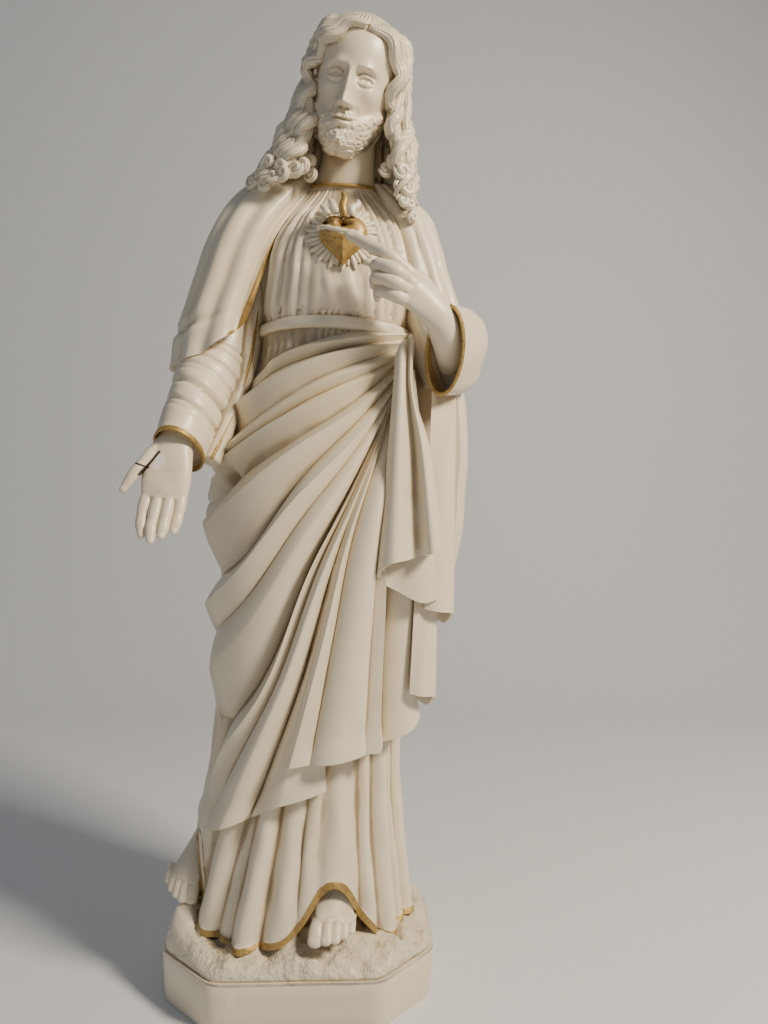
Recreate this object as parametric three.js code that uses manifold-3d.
// A painted plaster devotional statue: a robed and cloaked man with long hair, one hand held out and down,
// the
// other pointing to a gilded heart on the breast, standing on rocky ground over an eight-sided plinth.
// It is one cast, so every form below is joined into one closed solid.
// Millimetres, +Z up, the viewer looks along +Y. The origin is the middle of the plinth's underside.
import * as THREE from "three";
import { mergeVertices } from "three/addons/utils/BufferGeometryUtils.js";
import Module from "manifold-3d";

// Driving sizes.
const FIGURE_HEIGHT = 1140; // top of the plinth to the top of the hair
const PLINTH_HEIGHT = 57;
const PLINTH_WIDTH = 330;
const PLINTH_DEPTH = 270;
const PLINTH_CORNER = 68; // how far each cut corner reaches along both sides
const PLINTH_DRAFT = 3; // how far the sides lean in towards the underside
const GROUND_SINK = 6; // how deep the ground's underside lies in the plinth

// The figure's pose and carving are shares of its height: it is drawn 1140 parts tall, from the plinth's top.
const PART = FIGURE_HEIGHT / 1140;
const GROUND_RISE = 33 * PART; // the rock under the robe, over the plinth's top

// Numbers.
const DEGREE = Math.PI / 180;
const mix = (a, b, t) => a + (b - a) * t;
const clamp = (t) => Math.min(1, Math.max(0, t));
const ease = (t) => clamp(t) ** 2 * (3 - 2 * clamp(t));
const bell = (q) => Math.exp(-q * q);
const turnBetween = (a, b) => ((((a - b + 180) % 360) + 360) % 360) - 180; // in degrees, from -180 to 180

// The values in a table's row at a key, eased through the rows on either side by a Catmull-Rom curve.
function along(table, key) {
  const last = table.length - 1;
  let i = 0;
  while (i < last - 1 && key > table[i + 1][0]) i++;
  const t = clamp((key - table[i][0]) / (table[i + 1][0] - table[i][0]));
  const [p, q, r, s] = [table[Math.max(0, i - 1)], table[i], table[i + 1], table[Math.min(last, i + 2)]];
  return q.slice(1).map((_, n) => {
    const k = n + 1;
    const span = r[0] - q[0];
    const in_ = p === q ? r[k] - q[k] : ((r[k] - p[k]) / (r[0] - p[0])) * span;
    const out = s === r ? r[k] - q[k] : ((s[k] - q[k]) / (s[0] - q[0])) * span;
    const t2 = t * t;
    const t3 = t2 * t;
    return (2 * t3 - 3 * t2 + 1) * q[k] + (t3 - 2 * t2 + t) * in_ + (3 * t2 - 2 * t3) * r[k] + (t3 - t2) * out;
  });
}

// The highest of several round-backed folds at an angle or place; each fold is [middle, half width, height].
function folds(at, list, turn = true) {
  let height = 0;
  for (const [middle, half, rise] of list) {
    const q = (turn ? turnBetween(at, middle) : at - middle) / half;
    if (Math.abs(q) < 1) height = Math.max(height, rise * (1 - q * q));
  }
  return height;
}

// Lumps that never repeat over a surface: waves in directions a golden angle apart.
function lumps(x, y, size, count = 5) {
  let sum = 0;
  for (let i = 0; i < count; i++) {
    const way = 2.4 * i + 0.7;
    const pitch = (1 + 0.55 * i) / size;
    sum += Math.sin((x * Math.cos(way) + y * Math.sin(way)) * pitch + 1.9 * i) / (1 + 0.5 * i);
  }
  return sum / 2.2;
}

// Closed skins. A grid is a list of rows of points; a row is one ring, or one line across a sheet.
const wasm = await Module();
wasm.setup();

function solidOf(points, triangles) {
  const g = new THREE.BufferGeometry();
  g.setAttribute("position", new THREE.BufferAttribute(new Float32Array(points.flat()), 3));
  g.setIndex(triangles);
  const merged = mergeVertices(g, 1e-4);
  const made = (turned) => {
    const triVerts = new Uint32Array(merged.index.array);
    if (turned) for (let i = 0; i < triVerts.length; i += 3) triVerts.subarray(i, i + 2).reverse();
    return new wasm.Manifold(
      new wasm.Mesh({ numProp: 3, vertProperties: merged.attributes.position.array, triVerts }),
    );
  };
  const solid = made(false);
  return solid.volume() < 0 ? made(true) : solid;
}

// A stack of rings, closed at both ends by a fan to the ring's middle.
function ringSolid(rings) {
  const n = rings[0].length;
  const points = rings.flat();
  const triangles = [];
  for (let r = 0; r + 1 < rings.length; r++)
    for (let k = 0; k < n; k++) {
      const [a, b] = [r * n + k, r * n + ((k + 1) % n)];
      triangles.push(a, b, b + n, a, b + n, a + n);
    }
  for (const [r, turned] of [[0, true], [rings.length - 1, false]]) {
    const middle = [0, 1, 2].map((i) => rings[r].reduce((sum, p) => sum + p[i], 0) / n);
    points.push(middle);
    for (let k = 0; k < n; k++) {
      const [a, b] = [r * n + k, r * n + ((k + 1) % n)];
      triangles.push(...(turned ? [b, a] : [a, b]), points.length - 1);
    }
  }
  return solidOf(points, triangles);
}

// A sheet with a face, a back and four edges, from two grids of the same size.
function sheetSolid(face, back) {
  const [rows, n] = [face.length, face[0].length];
  const points = [...face.flat(), ...back.flat()];
  const behind = rows * n;
  const triangles = [];
  for (let r = 0; r + 1 < rows; r++)
    for (let k = 0; k + 1 < n; k++) {
      const a = r * n + k;
      triangles.push(a, a + 1, a + n + 1, a, a + n + 1, a + n);
      const b = behind + a;
      triangles.push(b + 1, b, b + n + 1, b + n + 1, b, b + n);
    }
  const rim = [];
  for (let k = 0; k < n - 1; k++) rim.push(k);
  for (let r = 0; r < rows - 1; r++) rim.push(r * n + n - 1);
  for (let k = n - 1; k > 0; k--) rim.push((rows - 1) * n + k);
  for (let r = rows - 1; r > 0; r--) rim.push(r * n);
  rim.forEach((a, i) => {
    const b = rim[(i + 1) % rim.length];
    triangles.push(b, a, behind + a, b, behind + a, behind + b);
  });
  return solidOf(points, triangles);
}

// Rows of points; columns is a list of angles or of shares across, and v runs from 0 to 1 over the rows.
const grid = (rows, columns, place) =>
  Array.from({ length: rows + 1 }, (_, r) => columns.map((at) => place(at, r / rows)));
const evenly = (count, end = 360) => Array.from({ length: count }, (_, k) => (end * k) / count);

// Columns for a folded surface: two on the back of each fold and one in each valley, from one fold to the
// last.
function foldColumns(list, ends = []) {
  const backs = list.flatMap(([middle, half]) => [middle - 0.45 * half, middle + 0.45 * half]);
  const next = ends.length ? list.slice(1) : [...list.slice(1), [list[0][0] + 360, list[0][1]]];
  const valleys = next.map(([middle, half], i) => mix(list[i][0], middle, list[i][1] / (list[i][1] + half)));
  return [...ends, ...backs, ...valleys].sort((a, b) => a - b);
}
const joined = (solids) => solids.reduce((all, one) => all.add(one));

// The trunk under the drapery: [height, middle across, middle deep, half width, half depth].
const TRUNK = [
  [20, 0, 0, 134, 104],
  [150, 0, 0, 124, 99],
  [330, 8, 0, 120, 95],
  [500, 15, 0, 122, 94],
  [620, 20, 2, 113, 90],
  [740, 30, 2, 92, 74],
  [800, 34, 0, 100, 78],
  [850, 36, 2, 102, 76],
  [900, 38, 8, 88, 64],
  [930, 38, 12, 62, 50],
  [950, 38, 14, 40, 36],
];

// A point round the trunk: angle 0 faces the viewer and 90 is at the viewer's right; out is off the trunk.
function onTrunk(angle, z, out) {
  const [cx, cy, a, b] = along(TRUNK, z);
  return [cx + (a + out) * Math.sin(angle * DEGREE), cy - (b + out) * Math.cos(angle * DEGREE), z];
}

// A point inside the trunk, that share of the way out from its middle.
function inTrunk(angle, z, share) {
  const [cx, cy, a, b] = along(TRUNK, z);
  return [cx + a * share * Math.sin(angle * DEGREE), cy - b * share * Math.cos(angle * DEGREE), z];
}

// The robe from the belt to the ground. Its pleats lean in towards the knee on the viewer's left, and its
// hem lifts over the foot that stands and over the side of the foot that trails.
const ROBE_PLEATS = [
  [-104, 9, 9], [-86, 8, 12], [-70, 9, 8], [-52, 10, 14], [-36, 6, 7], [-25, 8, 15], [-10, 6, 10], [4, 8, 6],
  [18, 13, 9], [38, 6, 9], [50, 7, 14], [63, 6, 10], [75, 7, 12], [90, 9, 9], [116, 14, 11], [148, 16, 12],
  [180, 16, 12], [211, 15, 11], [238, 13, 11],
];
const robeHem = (angle) =>
  25
  + 67 * bell(turnBetween(angle, 17) / 15)
  + 95 * bell(turnBetween(angle, -98) / 13)
  - 8 * bell(turnBetween(angle, 48) / 10);

function robeSkirt() {
  const lean = (angle) => 26 * bell(turnBetween(angle, -62) / 62);
  const skin = grid(4, foldColumns(ROBE_PLEATS), (angle, v) => {
    const low = robeHem(angle);
    const z = mix(low, 770, v ** 1.7);
    const up = (z - low) / (770 - low);
    const flare = (9 + 8 * bell(turnBetween(angle, -20) / 50)) * (1 - ease(up / 0.3));
    const depth = folds(angle, ROBE_PLEATS) * mix(1, 0.4, ease(up * 1.6)) - 10;
    const besidePocket = 26 * bell(turnBetween(angle, -90) / 35);
    const underPocket = besidePocket * ease((z - 400) / 60) * (1 - ease((z - 640) / 50));
    return onTrunk(angle + lean(angle) * clamp(up * 2.2), z, depth + flare - underPocket);
  });
  const inside = skin[0].map(([x, y, z]) => [x * 0.9, y * 0.9, z + 16]);
  return ringSolid([inside, ...skin]);
}

// The cloak over the hips. Its folds fan out from the gather, where it is tucked in at the belt. A line is
// the
// crest of a fold or the bottom of a valley, in turn: [height, sharpness, then the angle and height of its
// points
// a third along, two thirds along and at its end].
const FAN_START = [[0, 68, 758], [1, 36, 656]]; // down the gather, from the first line to the last
const FAN_SHARES = [0, 0.2, 0.42, 0.64, 0.77, 0.885, 1];
const FAN_LINES = [
    [-8, 0, 14, 748, -50, 716, -112, 680],
    [13, 0.2, 5, 732, -54, 700, -112, 655],
    [0, 0, 3, 722, -54, 688, -112, 640],
    [19, 0.5, -4, 712, -57, 662, -112, 622],
    [3, 0, -1, 691, -54, 629, -112, 590],
    [22, 0.2, -5, 676, -54, 606, -112, 566],
    [5, 0, -6, 665, -56, 601, -112, 560],
    [17, 0.6, -9, 654, -58, 595, -112, 550],
    [-4, 0, -4, 630, -56, 567, -112, 522],
    [26, 0.5, -10, 606, -55, 525, -112, 478],
    [3, 0, -5, 581, -45, 465, -112, 425],
    [27, 0.6, -5, 559, -46, 437, -112, 375],
    [11, 0, -2, 541, -43, 408, -112, 335],
    [21, 0, -1, 521, -41, 370, -112, 285],
    [-5, 0, 3, 493, -32, 314, -100, 190],
    [21, 0.8, 1, 482, -26, 301, -84, 150],
    [10, 0, 5, 488, -19, 312, -58, 146],
    [25, 0.1, 8, 493, -12, 326, -38, 158],
    [-4, 0, 14, 499, -4, 331, -28, 168],
    [17, 0.5, 15, 506, 0, 349, -10, 191],
    [6, 0, 18, 515, 8, 365, 12, 205],
];
const PANEL_START = [[0, 37, 656], [1, 64, 690]];
const PANEL_SHARES = [0, 0.2, 0.45, 0.7, 0.88, 1];
const PANEL_LINES = [
    [0, 0, 12, 518, 0, 376, -11, 240],
    [24, 0.5, 16, 520, 5, 378, -6, 238],
    [16, 0, 19, 524, 10, 382, 3, 240],
    [30, 0, 26, 529, 20, 389, 15, 244],
    [22, 0, 31, 533, 28, 389, 28, 249],
    [29, 0.8, 33, 534, 33, 390, 34, 250],
    [7, 0, 39, 537, 40, 393, 42, 256],
    [28, 0.1, 45, 541, 49, 400, 54, 268],
    [22, 0.3, 55, 548, 61, 404, 66, 280],
    [-4, 0, 64, 552, 72, 412, 79, 292],
    [14, 0, 74, 560, 82, 430, 90, 300],
];

// Cloth over the trunk, with a column on each line and one between each two, where it falls from the crest
// to the
// valley. Its back lies inside the trunk and comes out to the face only at the hem.
function drape({ lines, start, shares, relief, rim }) {
  const last = lines.length - 1;
  const pointOn = (line, s) => {
    const thirds = [1, 2, 3].map((n) => [n / 3, lines[line][2 * n], lines[line][2 * n + 1]]);
    return along([[0, ...along(start, line / last)], ...thirds], s);
  };
  const columns = Array.from({ length: 2 * last + 1 }, (_, i) => i / 2);
  const sheet = (hidden) =>
    grid(shares.length - 1, columns, (u, v) => {
      const s = shares[Math.round(v * (shares.length - 1))];
      const k = Math.min(last - 1, Math.floor(u));
      const pair = [lines[k], lines[k + 1]];
      const falls = pair[0][0] > pair[1][0];
      const [crest, valley] = falls ? pair : [pair[1], pair[0]];
      const t = falls ? u - k : 1 - (u - k);
      const section = mix((1 - t * t) ** 0.75, (1 - t) ** 1.1, crest[1]);
      const out = relief(u, s, mix(valley[0], crest[0], section));
      const inner = mix(Math.min(-48, out - 8), out - 7, ease((s - rim) / (1 - rim)));
      const [from, to] = [pointOn(k, s), pointOn(k + 1, s)];
      return onTrunk(mix(from[0], to[0], u - k), mix(from[1], to[1], u - k), hidden ? inner : out);
    });
  return sheetSolid(sheet(false), sheet(true));
}

// The fan's folds grow away from the gather. There is a pocket at the hip with a flared wall and lip, the
// cloth is
// drawn in below it, and the hem kicks out.
function cloakFan() {
  const relief = (u, s, height) => {
    const grown = mix(0.35, 1, ease(s / 0.4)) * mix(1, 0.85, ease((s - 0.85) / 0.15));
    const rollEnd = 12 * bell((u - 1) / 0.7) * ease((s - 0.56) / 0.12);
    const pocket = 44 * bell((u - 7.9) / 0.65) * bell((s - 0.77) / 0.06);
    const wall = 28 * bell((u - 7.9) / 0.75) * bell((s - 0.885) / 0.045);
    const lip = 7 * bell((u - 9) / 0.8) * bell((s - 0.74) / 0.07);
    const drawn = 19 * ease((s - 0.72) / 0.16) * ease((u - 8.3) / 0.8) * (1 - ease((u - 14) / 3));
    const swell = 2 + 6 * (1 - ease(s / 0.2)) + 3 * Math.sin(Math.PI * s);
    const kick = 5 * ease((s - 0.93) / 0.07) * ease((u - 13) / 2);
    return swell + height * grown - rollEnd - pocket + wall + lip - drawn + kick;
  };
  return drape({ lines: FAN_LINES, start: FAN_START, shares: FAN_SHARES, relief, rim: 0.9 });
}

// The broad panel over the standing leg, in front of the fan.
function cloakPanel() {
  const relief = (u, s, height) => 4 + height * mix(0.3, 1, ease(s / 0.35)) + 4 * ease((s - 0.93) / 0.07);
  return drape({ lines: PANEL_LINES, start: PANEL_START, shares: PANEL_SHARES, relief, rim: 0.85 });
}

// A hanging band of cloth that doubles back on itself. Its hem follows foot's rows [share, across, back,
// height]
// and its upper end follows top's; bow moves the edge at share 0 inwards on the way down.
function ribbon({ top, foot, shares, rows, thick, bow = 0 }) {
  const low = shares.map((w) => along(foot, w));
  const inward = low.map((_, i) => {
    const [a, b] = [low[Math.max(0, i - 1)], low[Math.min(low.length - 1, i + 1)]];
    const length = Math.hypot(b[0] - a[0], b[1] - a[1]);
    return [-(b[1] - a[1]) / length, (b[0] - a[0]) / length];
  });
  const sheet = (depth) =>
    grid(rows, [...shares.keys()], (i, v) => {
      const high = along(top, shares[i]);
      const [x, y, z] = high.map((value, n) => mix(value, low[i][n], v));
      const held = bow * bell((v - 0.24) / 0.2) * (1 - ease(shares[i] / 0.45));
      return [x - held - inward[i][0] * depth, y - inward[i][1] * depth, z];
    });
  return sheetSolid(sheet(0), sheet(thick));
}

// The free end of the cloth hangs from the gather in two broad folds, then turns back behind itself.
function cloakFall() {
  return ribbon({
    top: [
      [0, 128, -84, 735], [0.12, 124, -96, 738], [0.2, 121, -99, 739], [0.27, 118, -92, 736],
      [0.36, 113, -98, 731],
      [0.5, 108, -101, 725], [0.6, 103, -97, 718], [0.68, 102, -90, 708], [0.8, 108, -82, 700],
      [1, 124, -74, 700],
    ],
    foot: [
      [0, 162, -96, 496], [0.1, 156, -117, 487], [0.2, 145, -123, 482], [0.3, 133, -107, 478],
      [0.4, 119, -116, 474],
      [0.54, 103, -125, 471], [0.63, 92, -121, 466], [0.69, 84, -111, 457], [0.75, 89, -101, 447],
      [0.85, 110, -98, 436], [0.94, 138, -97, 423], [1, 157, -88, 428],
    ],
    shares: [0, 0.1, 0.2, 0.3, 0.4, 0.54, 0.63, 0.69, 0.75, 0.85, 1],
    rows: 4,
    thick: 5,
    bow: 12,
  });
}

// The panel's left edge turns back under its hem.
function panelTurn() {
  return ribbon({
    top: [[0, 2, -112, 300], [0.4, -6, -104, 300], [0.6, -2, -98, 300], [1, 24, -94, 300]],
    foot: [
      [0, 2, -122, 243], [0.25, -9, -122, 239], [0.42, -17, -116, 232], [0.55, -12, -107, 225],
      [0.75, 6, -107, 217],
      [1, 26, -104, 208],
    ],
    shares: [0, 0.25, 0.42, 0.55, 0.75, 1],
    rows: 1,
    thick: 5,
  });
}

// The cloak's front edge on the viewer's right falls from the arm in two steps, each turning back at its
// corner.
function cloakSteps() {
  const shares = [0, 0.3, 0.48, 0.62, 1];
  const upper = ribbon({
    top: [[0, 150, -66, 720], [0.45, 178, -44, 720], [0.7, 174, -30, 720], [1, 158, -30, 720]],
    foot: [
      [0, 142, -86, 415], [0.3, 160, -86, 411], [0.48, 176, -72, 407], [0.62, 170, -60, 394], [1, 150, -60, 408],
    ],
    shares,
    rows: 2,
    thick: 5,
  });
  const lower = ribbon({
    top: [[0, 132, -84, 470], [0.45, 156, -66, 470], [0.7, 154, -54, 470], [1, 140, -54, 470]],
    foot: [
      [0, 126, -86, 314], [0.3, 142, -84, 310], [0.48, 156, -70, 306], [0.62, 150, -58, 293], [1, 132, -58, 306],
    ],
    shares,
    rows: 1,
    thick: 5,
  });
  return joined([upper, lower]);
}

// The cloak down the back, from the shoulders to the calf, and its loose side below the bent arm.
function cloakBack() {
  const pleats = [
    [98, 11, 10], [124, 15, 14], [153, 16, 15], [182, 15, 13], [211, 16, 15], [242, 14, 12],
  ];
  const side = [[270, 6], [382, 12], [404, 32], [540, 54], [680, 62], [760, 50], [850, 6], [960, 0]];
  const sheet = (hidden) =>
    grid(5, foldColumns(pleats, [84, 258]), (angle, v) => {
      const u = (angle - 84) / 174;
      const low = mix(290, 150, ease(u * 1.1));
      const z = mix(low, 942, v);
      const shoulders = 16 * ease((z - 780) / 90) * (1 - ease((z - 880) / 60)) * Math.sin(Math.PI * u);
      const loose = along(side, z)[0] * bell(turnBetween(angle, 92) / 26);
      const fold = folds(angle, pleats) * mix(1, 0.35, ease((z - 500) / 380));
      const out = 6 + fold + loose + shoulders + 5 * (1 - ease((z - low) / 60));
      return hidden && v > 0 ? inTrunk(angle, z, 0.55) : onTrunk(angle, z, hidden ? out - 8 : out);
    });
  return sheetSolid(sheet(false), sheet(true));
}

// The robe over the breast, with pleats that fan from the collar and are drawn in under the belt.
const BREAST_PLEATS = [
  [-80, 9, 5], [-64, 8, 6], [-52, 6, 7], [-42, 5, 7], [-33, 5, 6], [-24, 5, 5], [-12, 7, 2], [2, 7, 2],
  [16, 7, 2],
  [28, 5, 5], [37, 5, 6], [47, 6, 6], [60, 8, 6], [78, 9, 5],
];

function breast() {
  const levels = [745, 790, 850, 900, 945];
  const skin = grid(levels.length - 1, foldColumns(BREAST_PLEATS), (angle, v) => {
    const z = levels[Math.round(v * (levels.length - 1))];
    const slope = Math.cos(angle * DEGREE);
    const [cx, cy, a, b] = along(TRUNK, z);
    const up = (z - 745) / 200;
    const pleats = folds(angle, BREAST_PLEATS) * (1 - 0.8 * ease((up - 0.75) / 0.25));
    const neckline = 18 * Math.max(0, slope - 0.2) * ease((up - 0.85) / 0.15);
    const out = pleats - 3 + 5 * bell((up - 0.1) / 0.1) + neckline;
    const dip = 19 * slope * ease((up - 0.5) / 0.5);
    return [cx + (a + out) * Math.sin(angle * DEGREE), cy - (b + out) * slope, z - dip];
  });
  return ringSolid(skin);
}

function belt() {
  const profile = [[0, -2], [0.3, 5], [1, -2]];
  return ringSolid(
    profile.map(([share, out]) =>
      Array.from({ length: 20 }, (_, k) => {
        const angle = (360 * k) / 20;
        const [x, y, z] = onTrunk(angle, 752, out + 2);
        return [x, y, z + mix(-9, 9, share) + 4 * bell(turnBetween(angle, -20) / 60)];
      }),
    ),
  );
}

// Limbs. Rings stand square to a smooth path; size rows are [share of the path, half width, half depth], the
// depth being measured towards up. round says how far each end bulges, rim adds rings [grow, shift] at the
// far end.
function limb({ path, size, up = [0, -0.35, 1], rows, sides, relief = () => 0, round = [0, 0], rim = [] }) {
  const curve = new THREE.CatmullRomCurve3(path.map((p) => new THREE.Vector3(...p)), false, "centripetal");
  const upward = new THREE.Vector3(...up).normalize();
  const ring = (t, grow = 0, shift = 0, shrink = 1) => {
    const at = curve.getPoint(t);
    const ahead = curve.getTangent(t);
    const across = new THREE.Vector3().crossVectors(ahead, upward).normalize();
    const over = new THREE.Vector3().crossVectors(across, ahead);
    const [wide, deep] = along(size, t);
    at.addScaledVector(ahead, shift);
    return Array.from({ length: sides }, (_, k) => {
      const angle = (360 * k) / sides;
      const out = grow + relief(angle, t);
      return at
        .clone()
        .addScaledVector(across, (wide + out) * shrink * Math.sin(angle * DEGREE))
        .addScaledVector(over, (deep + out) * shrink * Math.cos(angle * DEGREE))
        .toArray();
    });
  };
  const bulge = (t, reach) =>
    reach ? [50].map((a) => ring(t, 0, (t ? 1 : -1) * reach * Math.sin(a * DEGREE), Math.cos(a * DEGREE))) : [];
  const body = Array.from({ length: rows + 1 }, (_, r) => ring(r / rows));
  const edge = rim.map(([grow, shift]) => ring(1, grow, shift));
  return ringSolid([...bulge(0, round[0]), ...body, ...edge, ...bulge(1, round[1]).reverse()]);
}

// The cloak over the arm on the viewer's left: it hangs from the shoulder and its front edge crosses the
// elbow.
const DRAPED_ARM = [
  [680, -124, -16, 42, 44],
  [734, -119, -14, 47, 50],
  [794, -106, -8, 45, 52],
  [875, -82, -4, 44, 52],
  [935, -48, 8, 44, 42],
  [952, -30, 12, 30, 30],
];
const DRAPED_ARM_FOLDS = [
  [-150, 26, 6], [-96, 20, 5], [-58, 22, 7], [-12, 20, 6], [32, 20, 7], [66, 12, 6], [180, 30, 6],
];

// The height of its lower edge: across the elbow at the front, then up the inner side to the neck.
const DRAPED_ARM_HEM = [
  [-180, 690], [-80, 702], [-15, 714], [17, 734], [42, 757], [49, 800], [56, 862], [66, 900], [120, 900],
  [180, 690],
];

function drapedArm() {
  const angles = [-150, -120, -95, -70, -45, -22, 0, 17, 32, 42, 49, 56, 66, 92, 120, 150, 180];
  const skin = grid(6, angles, (angle, v) => {
    const low = along(DRAPED_ARM_HEM, angle)[0];
    const z = mix(low, 955, v);
    const [cx, cy, a, b] = along(DRAPED_ARM, z);
    const shift = 20 * (1 - v);
    const crease = -5 * bell((z - 762 - 14 * Math.sin(angle * DEGREE)) / 7) * bell(turnBetween(angle, -40) / 55);
    const out = folds(angle + shift, DRAPED_ARM_FOLDS) * mix(0.8, 0.5, v) + 4 * bell((z - low) / 14) + crease;
    return [cx + (a + out) * Math.sin(angle * DEGREE), cy - (b + out) * Math.cos(angle * DEGREE), z];
  });
  const inside = skin[0].map(([x, y, z]) => {
    const [cx, cy] = along(DRAPED_ARM, z);
    return [mix(cx, x, 0.75), mix(cy, y, 0.75), z + 8];
  });
  return ringSolid([inside, ...skin]);
}

// The robe's sleeve below it, gathered into rolls, with a cuff that stands clear of the wrist.
const SLEEVE_CREASES = [0.52, 0.6, 0.7, 0.79, 0.89];

function gatheredSleeve() {
  const roll = (angle, t) => {
    const at = t - 0.03 * Math.cos((angle - 300) * DEGREE);
    const near = Math.min(...SLEEVE_CREASES.map((c) => Math.abs(at - c)));
    return 3 - 5.5 * bell(near / 0.02) + 2.5 * bell((t - 1) / 0.03);
  };
  return limb({
    path: [
      [-84, 6, 880], [-100, 6, 810], [-114, 2, 744], [-124, -14, 702], [-136, -50, 652], [-149, -88, 596],
    ],
    size: [
      [0, 34, 34], [0.25, 36, 38], [0.48, 40, 42], [0.62, 42, 45], [0.8, 31, 42], [0.9, 29, 39], [1, 24, 35],
    ],
    rows: 12,
    sides: 12,
    relief: roll,
    rim: [[-4, 1], [-6, -12]],
  });
}

// The cloak over the upper arm on the viewer's right.
const RAISED_ARM = [
  [690, 172, -22, 30, 34],
  [742, 163, -14, 42, 46],
  [798, 144, -4, 43, 50],
  [843, 131, 2, 44, 50],
  [882, 121, 6, 44, 48],
  [915, 108, 10, 44, 44],
  [950, 72, 14, 34, 34],
];
const RAISED_ARM_FOLDS = [
  [-40, 16, 6], [-12, 14, 7], [18, 15, 6], [48, 16, 7], [84, 20, 6], [125, 22, 6], [170, 24, 6],
];

function raisedArm() {
  const skin = grid(5, evenly(20), (angle, v) => {
    const z = mix(690, 950, v);
    const [cx, cy, a, b] = along(RAISED_ARM, z);
    const out = folds(angle - 18 * (1 - v), RAISED_ARM_FOLDS) * mix(1, 0.4, v) - 3;
    return [cx + (a + out) * Math.sin(angle * DEGREE), cy - (b + out) * Math.cos(angle * DEGREE), z];
  });
  return ringSolid(skin);
}

// The wide sleeve at its elbow, open towards the viewer round the forearm.
function openSleeve() {
  const ridges = [[40, 26, 6], [95, 24, 7], [150, 26, 7], [215, 30, 6], [300, 34, 6]];
  const fold = (angle, t) => folds(angle + 20 * t, ridges) * (1 - t) + 2 * bell((t - 1) / 0.06);
  return limb({
    path: [[180, 16, 752], [192, -30, 738], [178, -72, 726], [159, -104, 719]],
    size: [[0, 30, 44], [0.45, 27, 50], [0.8, 24, 52], [1, 23, 51]],
    rows: 5,
    sides: 18,
    relief: fold,
    rim: [[-5, 1], [-8, -30]],
  });
}

// A hand: a flat palm swelling to the knuckles, with a rod for each finger.
function finger(joints, thick) {
  return limb({
    path: joints,
    size: [[0, thick, thick], [0.6, thick * 0.96, thick * 0.96], [1, thick * 0.78, thick * 0.78]],
    rows: 2,
    sides: 5,
    up: [0.3, -1, 0.2],
    round: [0, thick * 0.8],
  });
}

// The hand held out and down, its palm to the viewer.
function openHand() {
  const palm = limb({
    path: [[-136, -58, 646], [-149, -90, 612], [-156, -106, 574], [-159, -116, 540]],
    size: [[0, 19, 17], [0.4, 19, 15], [0.65, 25, 13], [0.85, 27, 11], [1, 24, 9]],
    rows: 5,
    sides: 10,
    up: [0.05, -1, 0.35],
    relief: (angle, t) =>
      3 * bell((t - 0.72) / 0.16) * bell(turnBetween(angle, 62) / 30)
      - 2.5 * bell((t - 0.8) / 0.14) * bell(turnBetween(angle, 0) / 40),
    round: [0, 4],
  });
  const fingers = [
    finger([[-176, -108, 556], [-180, -118, 532], [-181, -128, 512], [-179, -135, 500]], 7),
    finger([[-164, -111, 552], [-167, -122, 526], [-169, -133, 506], [-168, -140, 494]], 6.8),
    finger([[-151, -110, 552], [-153, -121, 528], [-155, -131, 509], [-156, -137, 499]], 6.6),
    finger([[-138, -106, 556], [-139, -116, 534], [-141, -124, 515], [-143, -129, 504]], 6.2),
    finger([[-162, -94, 612], [-176, -108, 590], [-190, -118, 570], [-202, -122, 550]], 7.6),
  ];
  return joined([palm, ...fingers]);
}

// The hand raised to the breast: the first finger points at the heart and the others curl under.
function pointingHand() {
  const palm = limb({
    path: [[174, -62, 714], [164, -94, 734], [152, -110, 754], [132, -120, 774], [112, -124, 790]],
    size: [[0, 21, 20], [0.35, 20, 18], [0.55, 21, 16], [0.8, 25, 13], [1, 24, 11]],
    rows: 5,
    sides: 10,
    up: [0.1, -1, 0.35],
    round: [0, 5],
  });
  const fingers = [
    finger([[112, -127, 807], [87, -124, 821], [66, -116, 834], [46, -107, 848]], 7.6),
    finger([[114, -127, 796], [92, -134, 803], [78, -129, 808], [76, -114, 806]], 8),
    finger([[116, -126, 784], [94, -134, 789], [76, -128, 793], [75, -113, 791]], 7.8),
    finger([[118, -122, 773], [98, -130, 775], [82, -125, 779], [80, -112, 777]], 7.2),
    finger([[132, -108, 792], [104, -106, 808], [84, -104, 814], [68, -100, 820]], 7.6),
  ];
  return joined([palm, ...fingers]);
}

// The neck, then the head. The head is drawn upright about its own middle and then tilted onto the neck.
const HEAD = { at: [50, -44, 1056], bow: 20, lean: 13, turn: 3 };

function neck() {
  return limb({
    path: [[38, 12, 900], [40, 0, 950], [46, -18, 1000], [50, -30, 1040]],
    size: [[0, 46, 44], [0.35, 34, 35], [0.7, 30, 33], [1, 32, 34]],
    rows: 3,
    sides: 12,
    up: [0, -1, 0.2],
  });
}

// The skull and face: [height, middle forward or back, half width, half depth].
const SKULL = [
  [-76, -20, 20, 27],
  [-66, -15, 30, 38],
  [-48, -9, 39, 47],
  [-25, -4, 45, 54],
  [0, 0, 49, 59],
  [28, 3, 51, 62],
  [50, 5, 46, 56],
  [66, 7, 34, 42],
  [78, 8, 12, 15],
];
const spot = (x, z, wide, high) => Math.exp(-((x / wide) ** 2) - (z / high) ** 2);

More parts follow.
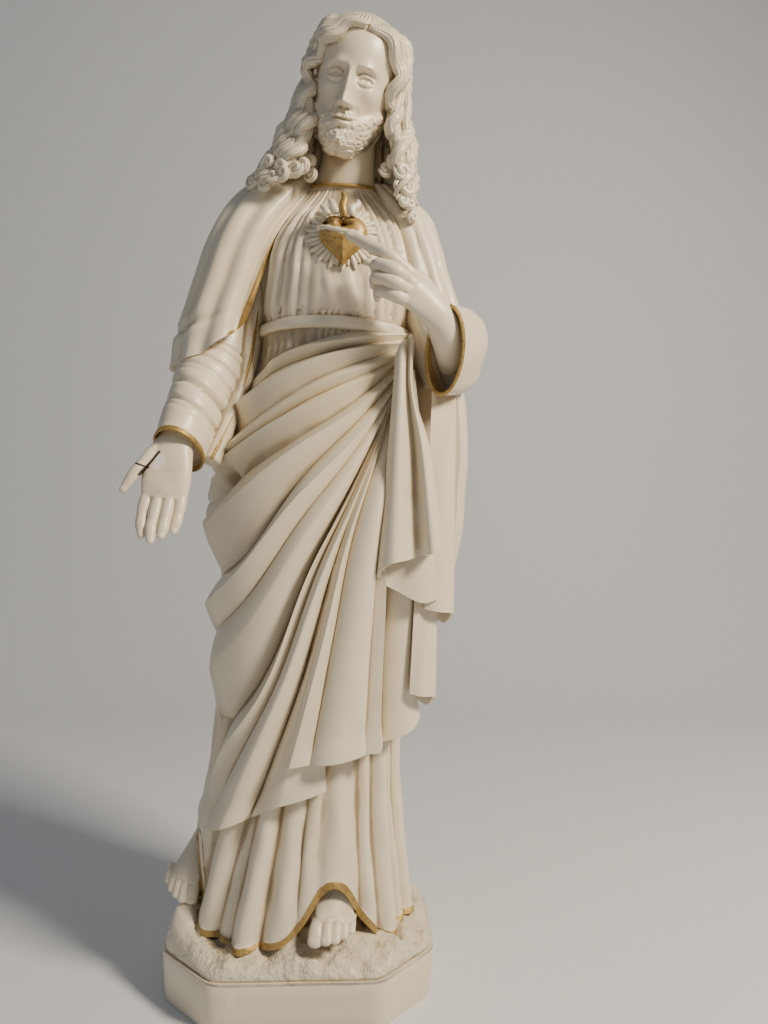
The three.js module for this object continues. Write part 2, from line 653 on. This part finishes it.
// How far the face stands off the skull. Eyes half way down, the nose's foot a third up from the chin.
function features(x, z) {
  const side = Math.abs(x);
  const bridge = clamp((11 - z) / 38);
  const nose = (3 + 13 * bridge) * ease((z + 34) / 6) * (1 - ease((z - 4) / 16)) * bell(x / (4.5 + 3 * bridge));
  return (
    nose
    + 4.5 * spot(side - 8, z + 27, 4, 5)
    + 3 * spot(side - 19, z - 14, 15, 5)
    - 8 * spot(side - 19, z - 1, 10, 9)
    + 5.5 * spot(side - 19.5, z, 7.5, 5.5)
    + 3 * spot(side - 32, z + 16, 13, 12)
    + 4 * spot(x, z + 45, 19, 13)
    + 3 * spot(x, z + 41.5, 11, 2.8)
    + 3.5 * spot(x, z + 49.5, 10, 3)
    - 2.5 * spot(x, z + 45.2, 13, 1.6)
    + 5 * spot(x, z + 68, 13, 9)
  );
}

// The beard follows the jaw and the lip, in small curls.
function beard(x, z, facing) {
  const side = Math.abs(x);
  const jaw = ease((-30 - z - 16 * (1 - side / 34)) / 9) * ease((facing + 0.25) / 0.3);
  const above = ease((z + 46 - side * 0.1) / 3) * (1 - ease((z + 34 + side * 0.35) / 3));
  const lip = above * (1 - ease((side - 20) / 5)) * ease((side - 1.5) / 3);
  const across = Math.abs(Math.sin(x * 0.42 + 2 * Math.sin(z * 0.31)));
  const curls = across * Math.abs(Math.sin(z * 0.4 + 1.4 * Math.sin(x * 0.27)));
  return Math.max(jaw * (4 + 4 * curls), lip * 4);
}

// The heights of the face's rings, closest together where it is carved most.
const FACE_LEVELS = [
  -76, -71, -64, -56, -50, -47, -45, -42.5, -38, -34, -30, -25, -17, -9, -3, 1.5, 6, 11, 17, 28, 44, 62, 74, 78,
];

function face() {
  const skin = FACE_LEVELS.map((z) => {
    const [cy, a, b] = along(SKULL, z);
    return Array.from({ length: 22 }, (_, k) => {
      const turn = (2 * Math.PI * k) / 22;
      const angle = turn - 0.76 * Math.sin(turn);
      const [s, c] = [Math.sin(angle), Math.cos(angle)];
      const out = c > 0 ? features(a * s, z) * ease(c / 0.5) : 0;
      const hair = beard(a * s, z, c);
      return [(a + hair * Math.abs(s)) * s, cy - (b + hair) * c - out, z - hair * 0.3];
    });
  });
  return ringSolid(skin);
}

// The hair on the head: parted in the middle and waved in strands to each side of the face.
const HAIRLINE = [[-80, 60], [-45, 66], [-10, 64], [15, 58], [34, 44], [47, 24], [56, 0], [60, -12]];

function hairCap() {
  const skin = Array.from({ length: 10 }, (_, r) => {
    const rise = mix(-70, 90, (r / 10) ** 0.85);
    const z = rise > 60 ? 60 + 17 * Math.sin(((rise - 60) / 30) * 90 * DEGREE) : rise;
    const [cy, a, b] = along(SKULL, Math.min(z, 78));
    const edge = along(HAIRLINE, z)[0];
    return Array.from({ length: 24 }, (_, k) => {
      const angle = (360 * k) / 24;
      const away = Math.abs(turnBetween(angle, 10));
      const wave = away + 6 * Math.sin(z / 9 + away / 20);
      const strands = 3.5 * Math.abs(Math.sin(wave * 0.11)) * (1 - ease((z - 50) / 26));
      const parting = 3 * bell((a * Math.sin(angle * DEGREE) - 12) / 5) * ease((z - 40) / 20);
      const cover = ease((away - edge) / 9);
      const low = 7 * ease((-10 - z) / 60);
      const out = mix(-6, 9 + strands - parting + low, cover);
      return [(a + out) * Math.sin(angle * DEGREE), cy - (b + out) * Math.cos(angle * DEGREE), z + (cover ? 4 : 0)];
    });
  });
  return ringSolid(skin);
}

function head() {
  return joined([face(), hairCap()])
    .rotate([HEAD.bow, 0, 0])
    .rotate([0, HEAD.lean, 0])
    .rotate([0, 0, -HEAD.turn])
    .translate(HEAD.at);
}

// The locks that fall to the shoulders, waving as they go. The middle one on each side is deep from front to
// back
// and carries the mass of the hair.
const LOCKS = [
  {
    path: [
      [4, -38, 1088], [-8, -50, 1046], [-6, -54, 1006],
      [-18, -58, 970], [-34, -60, 942], [-50, -58, 926],
    ],
    wide: 13,
    deep: 13,
  },
  {
    path: [
      [-2, -14, 1092], [-20, -22, 1048], [-26, -26, 1006],
      [-40, -30, 972], [-56, -30, 952], [-70, -26, 944],
    ],
    wide: 16,
    deep: 34,
  },
  {
    path: [
      [8, 4, 1078], [-8, 8, 1040], [-18, 8, 1002],
      [-36, 14, 970], [-52, 22, 950], [-64, 26, 944],
    ],
    wide: 18,
    deep: 18,
  },
  {
    path: [
      [96, -46, 1086], [104, -52, 1046], [97, -56, 1010],
      [102, -60, 976], [107, -58, 944], [108, -56, 916],
    ],
    wide: 12,
    deep: 12,
  },
  {
    path: [
      [102, -26, 1086], [110, -30, 1042], [107, -32, 1004],
      [110, -34, 966], [114, -34, 938], [114, -32, 914],
    ],
    wide: 14,
    deep: 32,
  },
  {
    path: [
      [96, 2, 1074], [104, 4, 1036], [103, 6, 998],
      [106, 10, 962], [107, 16, 934], [107, 20, 914],
    ],
    wide: 18,
    deep: 18,
  },
];

// The hair behind the neck, down to the shoulder blades.
function backHair() {
  return limb({
    path: [[52, -8, 1104], [50, 4, 1056], [46, 16, 1006], [42, 28, 952], [40, 40, 902], [40, 46, 872]],
    size: [[0, 30, 16], [0.2, 46, 25], [0.45, 52, 28], [0.75, 50, 24], [0.92, 38, 16], [1, 28, 9]],
    rows: 5,
    sides: 14,
    up: [0, -1, 0.1],
    relief: (angle, t) => 3 * Math.abs(Math.sin(angle * DEGREE * 3.5 + Math.sin(t * 16))),
    round: [10, 6],
  });
}

function lock({ path, wide, deep }, n) {
  const steps = 10;
  const curve = new THREE.CatmullRomCurve3(path.map((p) => new THREE.Vector3(...p)), false, "centripetal");
  const waved = Array.from({ length: steps + 1 }, (_, i) => {
    const t = i / steps;
    const swing = 4.5 * Math.sin(t * 15 + n * 1.7) * ease(t * 3);
    const p = curve.getPoint(t);
    return [p.x + swing, p.y - Math.abs(swing) * 0.7, p.z];
  });
  const sizeAt = (t, share) => [t, wide * share, deep * share];
  return limb({
    path: waved,
    size: [sizeAt(0, 0.6), sizeAt(0.3, 1), sizeAt(0.75, 0.85), sizeAt(1, 0.55)],
    rows: 6,
    sides: 6,
    up: [0.2, -1, 0.1],
    relief: (angle, t) => 1.6 * Math.sin((angle / 360) * 2 * Math.PI * 2 + t * 14 + n),
    round: [0, wide * 0.5],
  });
}

// The plinth: a cut-cornered block that draws in a little towards its underside.
function plinth() {
  const outline = (inset) => {
    const [w, d, c] = [PLINTH_WIDTH / 2 - inset, PLINTH_DEPTH / 2 - inset, PLINTH_CORNER];
    return [
      [-w + c, -d], [w - c, -d], [w, -d + c], [w, d - c], [w - c, d], [-w + c, d], [-w, d - c], [-w, -d + c],
    ];
  };
  const level = (inset, z) => outline(inset).map(([x, y]) => [x, y, z]);
  return ringSolid([level(PLINTH_DRAFT, 0), level(0, PLINTH_HEIGHT)]);
}

// How far the plinth's edge is from its middle, at an angle.
function plinthReach(angle) {
  const [s, c] = [Math.abs(Math.sin(angle * DEGREE)), Math.abs(Math.cos(angle * DEGREE))];
  const [w, d] = [PLINTH_WIDTH / 2, PLINTH_DEPTH / 2];
  return Math.min(w / Math.max(s, 1e-6), d / Math.max(c, 1e-6), (w + d - PLINTH_CORNER) / (s + c));
}

// The rocky ground on the plinth: a low mound of worn lumps.
function ground() {
  const level = (share, rise) =>
    Array.from({ length: 26 }, (_, k) => {
      const angle = (360 * k) / 26;
      const reach = (plinthReach(angle) - 2) * share;
      const [x, y] = [reach * Math.sin(angle * DEGREE), -reach * Math.cos(angle * DEGREE)];
      const [px, py] = [x / PART, y / PART];
      const rough = rise > 0 ? 8 * lumps(px, py, 15) + 5 * Math.abs(lumps(py, px, 8)) : 0;
      const step = 20 * bell(Math.hypot(px + 128, py + 52) / 30) * clamp((1 - share) * 9);
      return [x, y, PLINTH_HEIGHT + rise + (step + rough * Math.min(1, (1 - share) * 12 + 0.25)) * PART];
    });
  return ringSolid([
    level(0.97, -GROUND_SINK),
    level(0.985, 3),
    level(0.96, 8),
    level(0.88, 0.4 * GROUND_RISE),
    level(0.78, 0.65 * GROUND_RISE),
    level(0.66, 0.85 * GROUND_RISE),
    level(0.5, GROUND_RISE),
    level(0.25, GROUND_RISE),
  ]);
}

// The bare feet: the one that stands, under the lifted hem, and the trailing one with its heel raised.
function toes(list, way, reach) {
  return list.map(([x, y, z, thick]) => {
    const at = (along_, down) => [
      x + way[0] * reach * along_,
      y + way[1] * reach * along_,
      z + way[2] * reach * down,
    ];
    return limb({
      path: [at(0, 0), at(0.5, 0.4), at(1, 1)],
      size: [[0, thick, thick * 0.9], [0.5, thick * 0.85, thick * 0.8], [1, thick * 0.95, thick * 0.8]],
      rows: 2,
      sides: 5,
      up: [0, -0.4, 1],
      round: [0, thick * 0.7],
    });
  });
}

function standingFoot() {
  const instep = limb({
    path: [[44, -50, 92], [45, -78, 74], [46, -104, 54]],
    size: [[0, 22, 20], [0.5, 25, 17], [1, 27, 12]],
    rows: 3,
    sides: 10,
    up: [0, 0.3, 1],
    round: [0, 4],
  });
  const row = [
    [24, -102, 50, 8.5],
    [37, -106, 50, 6.4],
    [49, -105, 49, 6.2],
    [60, -101, 48, 5.8],
    [69, -95, 47, 5.4],
  ];
  return joined([instep, ...toes(row, [-0.06, -0.83, -0.42], 21)]);
}

function trailingFoot() {
  const instep = limb({
    path: [[-104, 6, 150], [-122, -12, 114], [-142, -42, 80]],
    size: [[0, 20, 18], [0.5, 20, 16], [1, 24, 11]],
    rows: 3,
    sides: 10,
    up: [-0.2, -0.7, 0.6],
    round: [0, 8],
  });
  const row = [
    [-126, -47, 72, 8.5],
    [-137, -49, 73, 6.6],
    [-146, -46, 75, 6.2],
    [-154, -42, 78, 5.8],
    [-161, -37, 82, 5.4],
  ];
  return joined([instep, ...toes(row, [-0.1, -0.65, -0.75], 20)]);
}

// The heart on the breast, with its flame, inside a shallow sunburst.
const HEART = { x: 38, z: 852, wide: 29, high: 34 };

function breastFront(x, z) {
  const [cx, cy, a, b] = along(TRUNK, z);
  const q = clamp(1 - ((x - cx) / a) ** 2);
  return cy - b * Math.sqrt(q);
}

function heart() {
  const levels = [[1, 4], [0.98, -5], [0.85, -11], [0.55, -15], [0.2, -17]];
  return ringSolid(
    levels.map(([share, lift]) =>
      Array.from({ length: 18 }, (_, k) => {
        const t = (2 * Math.PI * k) / 18;
        const x = HEART.wide * share * Math.sin(t) ** 3;
        const up = (13 * Math.cos(t) - 5 * Math.cos(2 * t) - 2 * Math.cos(3 * t) - Math.cos(4 * t) + 2.5) / 15;
        const z = HEART.z + HEART.high * share * up;
        return [HEART.x + x, breastFront(HEART.x, HEART.z) + lift, z];
      }),
    ),
  );
}

function sunburst() {
  const level = (share, lift) =>
    Array.from({ length: 24 }, (_, k) => {
      const angle = (360 * k) / 24;
      const ray = k % 2 ? 0.8 : 1;
      const far = 48 * share * (share > 0.9 ? ray : 1);
      const x = HEART.x + far * Math.sin(angle * DEGREE);
      const z = HEART.z + 10 + 0.92 * far * Math.cos(angle * DEGREE);
      return [x, breastFront(x, z) - lift, z];
    });
  return ringSolid([level(1, -12), level(1, 0.5), level(0.6, 4)]);
}

function flame() {
  return limb({
    path: [[38, -88, 872], [37, -86, 888], [39, -80, 902], [39, -76, 911]],
    size: [[0, 9, 5], [0.4, 11, 5], [0.75, 7, 4], [1, 2, 2]],
    rows: 5,
    sides: 8,
    up: [0, -1, 0.1],
    relief: (angle, t) => 2 * Math.sin(t * 12 + angle * DEGREE),
  });
}

function figure() {
  return joined([
    robeSkirt(), cloakFan(), cloakPanel(), cloakFall(), panelTurn(), cloakSteps(), cloakBack(), breast(), belt(),
    drapedArm(), gatheredSleeve(), raisedArm(), openSleeve(), openHand(), pointingHand(),
    neck(), head(), backHair(), ...LOCKS.map(lock), standingFoot(), trailingFoot(), sunburst(), heart(), flame(),
  ]);
}

function statue() {
  const standing = figure().scale([PART, PART, PART]).translate([0, 0, PLINTH_HEIGHT]);
  const mesh = joined([plinth(), ground(), standing]).getMesh();
  const geometry = new THREE.BufferGeometry();
  geometry.setAttribute("position", new THREE.BufferAttribute(mesh.vertProperties, 3));
  geometry.setIndex(new THREE.BufferAttribute(mesh.triVerts, 1));
  geometry.computeVertexNormals();
  const paint = new THREE.MeshStandardMaterial({ color: 0xd9cfb8, roughness: 0.45, metalness: 0 });
  const made = new THREE.Mesh(geometry, paint);
  made.name = "statue";
  return made;
}

const group = new THREE.Group();
group.add(statue());
export default group;
